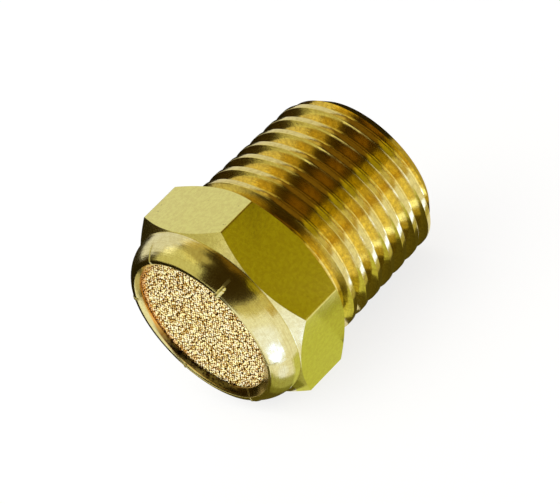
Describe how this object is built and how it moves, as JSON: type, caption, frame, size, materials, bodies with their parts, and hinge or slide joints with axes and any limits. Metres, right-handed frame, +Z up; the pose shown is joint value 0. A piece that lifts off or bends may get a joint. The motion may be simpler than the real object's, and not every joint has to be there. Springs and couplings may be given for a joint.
{
  "type": "pneumatic muffler",
  "caption": "Brass breather muffler: a hex body with a tapered male pipe nose and a sintered bronze disc crimped under a rolled lip, which lets exhaust air out quietly.",
  "frame": {"origin": "on the turning axis, in the plane of the hex shoulder where the pipe nose begins", "axes": "+X along the turning axis, out of the pipe nose; +Z up, square to the hex flat that the part lies on; the disc faces -X"},
  "size_m": [0.0182, 0.0166, 0.0142],
  "materials": {
    "turned_brass": "bright turned and milled brass",
    "sintered_bronze": "porous sintered bronze beads"
  },
  "bodies": {
    "root": {"body": "turned_brass", "sintered_disc": "sintered_bronze"}
  },
  "joints": []
}
